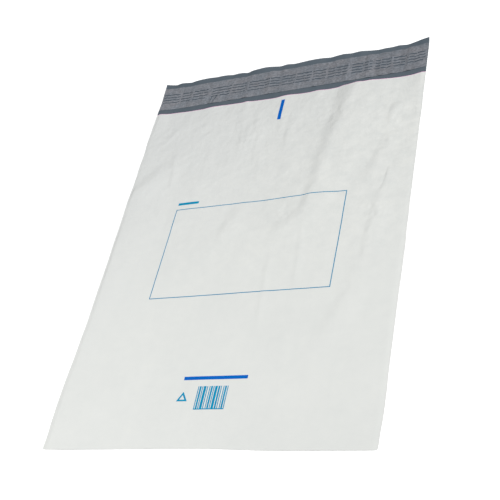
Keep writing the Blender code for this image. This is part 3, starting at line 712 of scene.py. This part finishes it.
def white_film_material():
    """White film: cloudiness, streaks along the web, a fine crinkle, a satin face and painted shade at the
    upper left.
    """
    nodes = Nodes("white_film")
    clouds = nodes.noise(14.0)
    streaks = nodes.noise(9.0, (14, 1, 1))
    mottle = nodes.noise(95.0, (0.8, 1.0, 1.0), detail=4.0, roughness=0.65)
    blend = nodes.math("ADD", nodes.math("MULTIPLY", clouds, 0.6), nodes.math("MULTIPLY", streaks, 0.2))
    blend = nodes.math("ADD", blend, nodes.math("MULTIPLY", mottle, 0.2))
    places = nodes.add("SeparateXYZ", links={"Vector": nodes.place})
    upward = nodes.spread(places.outputs["Y"], *GRAIN_RISE)
    grain = nodes.math("MULTIPLY", nodes.spread(mottle, -1.0, 1.0, 0.25, 0.75), upward)
    blend = nodes.math("ADD", nodes.spread(blend, 0.15, 0.85), nodes.math("MULTIPLY", grain, 0.5))
    plain = nodes.mix(blend, FILM_SHADE, FILM_WHITE)
    # Painted shade: the white turns darker and cooler towards the upper left
    corner = nodes.math("SUBTRACT", places.outputs["Y"], places.outputs["X"])
    colour = nodes.mix(nodes.spread(corner, *UPPER_LEFT_SHADE), plain, FILM_COOL_SHADE)
    crinkle = nodes.noise(110.0, (1.0, 0.9, 1.0), detail=4.0, roughness=0.6)
    nodes.bump(nodes.math("MULTIPLY", crinkle, upward), *FILM_CRINKLE)
    return nodes.finish(colour, nodes.spread(clouds, 0.42, 0.5), Specular_IOR_Level=0.35)


def grey_film_material():
    """Grey inner face of the film."""
    nodes = Nodes("grey_film")
    clouds = nodes.noise(30.0)
    streaks = nodes.noise(12.0, (10, 1, 1))
    blend = nodes.math("ADD", nodes.math("MULTIPLY", clouds, 0.5), nodes.math("MULTIPLY", streaks, 0.5))
    colour = nodes.mix(nodes.spread(blend, 0.0, 1.0), GREY_DARK, GREY_LIGHT)
    crinkle = nodes.noise(220.0, (1.0, 0.7, 1.0), detail=2.0)
    nodes.bump(crinkle, *GREY_CRINKLE)
    return nodes.finish(colour, nodes.spread(clouds, 0.45, 0.55), Specular_IOR_Level=0.3)


def liner_material():
    """Release liner: a thin cloudy film over the glue, with painted shade of upright rippling."""
    nodes = Nodes("liner")
    patches = nodes.noise(90.0, (0.6, 1, 1), detail=4.0)
    # Painted shade: upright bands that darken and lighten the liner as its rippling would
    ripple_shade = nodes.noise(22.0, (9, 1, 1))
    grain = nodes.noise(560.0, (0.8, 1, 1), detail=2.0)
    colour = nodes.mix(nodes.spread(patches, 0.0, 1.0, 0.35, 0.65), LINER_BLUE, LINER_MAUVE)
    across = nodes.add("SeparateXYZ", links={"Vector": nodes.place}).outputs["X"]
    shade = nodes.math("MULTIPLY", nodes.spread(ripple_shade, 0.87, 1.09), nodes.spread(grain, 0.76, 1.24))
    shade = nodes.math("MULTIPLY", shade, nodes.spread(across, *LINER_SHADE))
    shaded = nodes.add("VectorMath", operation="SCALE")
    nodes.tree.links.new(colour, shaded.inputs[0])
    nodes.tree.links.new(shade, shaded.inputs["Scale"])
    crinkle = nodes.noise(260.0, (1.0, 0.5, 1.0))
    nodes.bump(crinkle, *LINER_CRINKLE)
    return nodes.finish(shaded.outputs["Vector"], nodes.spread(patches, 0.4, 0.5), Specular_IOR_Level=0.3)


def speckled_material(name, low, high, scale, roughness):
    """A nearly even colour with a faint grain."""
    nodes = Nodes(name)
    colour = nodes.mix(nodes.spread(nodes.noise(scale), 0.0, 1.0), low, high)
    return nodes.finish(colour, roughness, Specular_IOR_Level=0.1)


def node_box(name):
    """Left, low, right and high of a node, in mm."""
    low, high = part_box(name)
    return low.x / MM, low.y / MM, high.x / MM, high.y / MM


def frame_patches():
    """The four lines of the address frame."""
    left, low, right, high = node_box("address_frame")
    inner_left, inner_low = left + FRAME_LINE, low + FRAME_LINE
    inner_right, inner_high = right - FRAME_LINE, high - FRAME_LINE
    return (bar(left, low, right, inner_low), bar(left, inner_high, right, high),
            bar(left, inner_low, inner_left, inner_high), bar(inner_right, inner_low, right, inner_high))


def rule_patches(node):
    """One plain rule over the whole of a node."""
    return (bar(*node_box(node)),)


def bar_patches():
    """Bars of several widths that stand on a line."""
    left, low, right, high = node_box("bar_block")
    unit = (right - left) / (sum(BAR_WIDTHS) + sum(BAR_GAPS))
    bars = [bar(left, low, right, low + BAR_BASE)]
    for width, gap in zip(BAR_WIDTHS, (*BAR_GAPS, 0)):
        bars.append(bar(left, low + BAR_BASE, left + width * unit, high))
        left += (width + gap) * unit
    return bars


def mark_patches():
    """The three sides of a triangle, whose height is one and a half times its outer radius."""
    left, low, right, high = node_box("corner_mark")
    outer_radius = (high - low) / 1.5
    inner_radius = outer_radius - 2 * MARK_LINE
    middle_x, middle_y = (left + right) / 2, low + outer_radius / 2
    corners = [[(middle_x + radius * math.cos(angle), middle_y + radius * math.sin(angle))
                for radius in (outer_radius, inner_radius)]
               for angle in (math.radians(90 + 120 * k) for k in range(3))]
    return [patch((a[0], b[0], b[1], a[1]), PRINT_STEP)
            for a, b in zip(corners, corners[1:] + corners[:1])]


def dash_and_shadow_patches():
    """Wavy rows of dash marks in blocks, broken up into short pieces, and painted shadow lines where the
    liner is pinched.
    """
    dashes_and_shadows = []
    for block_start, block_stop in DASH_BLOCKS:
        phase = random.uniform(0.0, math.tau)
        for row in DASH_ROWS:
            low = row + random.uniform(-DASH_ROW_WANDER, DASH_ROW_WANDER)
            start = block_start + random.uniform(-DASH_END_WANDER, DASH_END_WANDER)
            stop = block_stop + random.uniform(-DASH_END_WANDER, DASH_END_WANDER)
            while start < stop - DASH_LEAST:
                length = random.uniform(*DASH_LENGTHS)
                height = DASH_HEIGHT * random.uniform(*DASH_HEIGHT_SHARES)
                x, y = bar(start, low, min(start + length, stop), low + height, DASH_STEP)
                wave = DASH_WAVE * MM * np.sin(x / MM * math.tau / DASH_WAVE_LENGTH + phase)
                dashes_and_shadows.append((x, y + wave))
                start += length + random.uniform(*DASH_GAPS)
    # Painted shadow: dark slivers where the liner is pinched
    for low_x, low_y, high_x, high_y, width in PINCH_SHADOWS:
        corners = ((low_x, low_y), (low_x + width, low_y), (high_x + width, high_y), (high_x, high_y))
        dashes_and_shadows.append(patch(corners, PINCH_SHADOW_STEP))
    return dashes_and_shadows


def white_floor():
    """A floor that looks pure white to the camera and still takes the bag's shadow."""
    data = bpy.data.meshes.new("floor")
    corners = [(x * FLOOR_HALF, y * FLOOR_HALF, 0) for x, y in ((-1, -1), (1, -1), (1, 1), (-1, 1))]
    data.from_pydata(corners, [], [(0, 1, 2, 3)])
    made = bpy.data.objects.new("floor", data)
    made.location.z = -FLOOR_DROP
    bpy.context.scene.collection.objects.link(made)
    nodes = Nodes("floor")
    tree = nodes.tree
    diffuse = nodes.add("BsdfDiffuse", {"Color": (FLOOR_GREY, FLOOR_GREY, FLOOR_GREY, 1.0)})
    glow = nodes.add("Emission", {"Color": (1.0, 1.0, 1.0, 1.0)})
    path = nodes.add("LightPath")
    flat = nodes.add("VectorMath", operation="LENGTH")
    tree.links.new(nodes.place, flat.inputs[0])
    glows = nodes.spread(flat.outputs["Value"], *FLOOR_GLOW)
    tree.links.new(nodes.math("MULTIPLY", path.outputs["Is Camera Ray"], glows), glow.inputs["Strength"])
    total = nodes.add("AddShader")
    tree.links.new(diffuse.outputs["BSDF"], total.inputs[0])
    tree.links.new(glow.outputs["Emission"], total.inputs[1])
    tree.links.new(total.outputs["Shader"], tree.nodes["Material Output"].inputs["Surface"])
    tree.nodes.remove(nodes.shader)
    data.materials.append(nodes.material)
    return made


def area_light(name, place, aim, size, power):
    """A square white lamp that points at its aim."""
    data = bpy.data.lights.new(name, "AREA")
    data.shape = "SQUARE"
    data.size = size
    data.energy = power
    made = bpy.data.objects.new(name, data)
    made.location = place
    made.rotation_euler = (Vector(aim) - Vector(place)).to_track_quat("-Z", "Y").to_euler()
    bpy.context.scene.collection.objects.link(made)
    return made


def add_world():
    """Even light from all round, seen as pure white."""
    world = bpy.data.worlds.new("surroundings")
    world.use_nodes = True
    tree = world.node_tree
    tree.nodes.clear()

    def background(strength):
        """White light of one strength."""
        made = tree.nodes.new("ShaderNodeBackground")
        made.inputs["Color"].default_value = (1.0, 1.0, 1.0, 1.0)
        made.inputs["Strength"].default_value = strength
        return made.outputs["Background"]

    path = tree.nodes.new("ShaderNodeLightPath")
    mixed = tree.nodes.new("ShaderNodeMixShader")
    output = tree.nodes.new("ShaderNodeOutputWorld")
    tree.links.new(path.outputs["Is Camera Ray"], mixed.inputs["Fac"])
    tree.links.new(background(WORLD_LIGHT), mixed.inputs[1])
    tree.links.new(background(1.0), mixed.inputs[2])
    tree.links.new(mixed.outputs["Shader"], output.inputs["Surface"])
    bpy.context.scene.world = world


def add_camera():
    """The camera of the photograph: it looks down on the bag and is turned about its own axis."""
    heading, elevation, roll = (math.radians(a) for a in (CAMERA_HEADING, CAMERA_ELEVATION, CAMERA_ROLL))
    forward = Vector((math.sin(heading) * math.cos(elevation), math.cos(heading) * math.cos(elevation),
                      -math.sin(elevation)))
    level = forward.cross(Vector((0.0, 0.0, 1.0))).normalized()
    down = forward.cross(level)
    right = level * math.cos(roll) + down * math.sin(roll)
    up = level * math.sin(roll) - down * math.cos(roll)
    data = bpy.data.cameras.new("camera")
    data.sensor_width = CAMERA_SENSOR
    data.lens = CAMERA_LENS
    data.clip_start = CAMERA_NEAR
    made = bpy.data.objects.new("camera", data)
    place = Vector(CAMERA_AIM) - forward * CAMERA_DISTANCE
    made.matrix_world = Matrix(((right.x, up.x, -forward.x, place.x), (right.y, up.y, -forward.y, place.y),
                                (right.z, up.z, -forward.z, place.z), (0.0, 0.0, 0.0, 1.0)))
    bpy.context.scene.collection.objects.link(made)
    bpy.context.scene.camera = made


# Film, adhesive and liner
# The cut edge at the mouth carries a painted pinkish highlight
film = film_object(white_film_material(), grey_film_material(),
                   speckled_material("cut_edge_painted_highlight", HIGHLIGHT_MAUVE, HIGHLIGHT_MAUVE_LIGHT, 60.0, 0.5))
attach(film, "root")
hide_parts("film_bag")

glue = lip_strip("adhesive", glue_low, glue_high, GLUE_LIFT, GLUE_THICKNESS,
                 speckled_material("adhesive", GLUE_PALE, GLUE_PALE_LIGHT, 60.0, 0.3))
liner = lip_strip("liner", liner_low, liner_high, LINER_LIFT, LINER_THICKNESS, liner_material(), LINER_FOLDS)
for made, node in ((glue, "adhesive_strip"), (liner, "release_liner")):
    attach(made, "root")
    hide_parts(node)

# Print on the film, then on the liner
thin_ink = speckled_material("thin_blue_ink", THIN_BLUE, THIN_BLUE_LIGHT, 200.0, 0.4)
solid_ink = speckled_material("blue_ink", SOLID_BLUE, SOLID_BLUE_LIGHT, 200.0, 0.4)
bar_ink = speckled_material("bar_blue_ink", BAR_BLUE, BAR_BLUE_LIGHT, 120.0, 0.4)
film_tree = tree_of(film)
for name, patches, node, finish in (
        ("print_frame", frame_patches(), "address_frame", thin_ink),
        ("print_position_bar", rule_patches("position_bar"), "position_bar", solid_ink),
        ("print_title_rule", rule_patches("title_rule"), "title_rule", bar_ink),
        ("print_foot_rule", rule_patches("foot_rule"), "foot_rule", solid_ink),
        ("print_bar_block", bar_patches(), "bar_block", bar_ink),
        ("print_mark", mark_patches(), "corner_mark", bar_ink)):
    made = slab(name, patches, INK_LIFT, INK_THICKNESS, film_tree, finish)
    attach(made, "root")
    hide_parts(node)

# The liner's dash print, with its painted pinch shadows
marks = slab("liner_dashes_and_crease_shadows", dash_and_shadow_patches(), DASH_LIFT, DASH_THICKNESS, tree_of(liner),
             speckled_material("dash_ink_and_crease_shadow", DASH_AND_SHADOW_DARK, DASH_AND_SHADOW_LIGHT, 300.0, 0.45))
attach(marks, "root")

# Floor, light and camera
floor = white_floor()
add_world()
for light in LIGHTS:
    area_light(*light)
add_camera()
bpy.context.scene.view_settings.view_transform = "Standard"
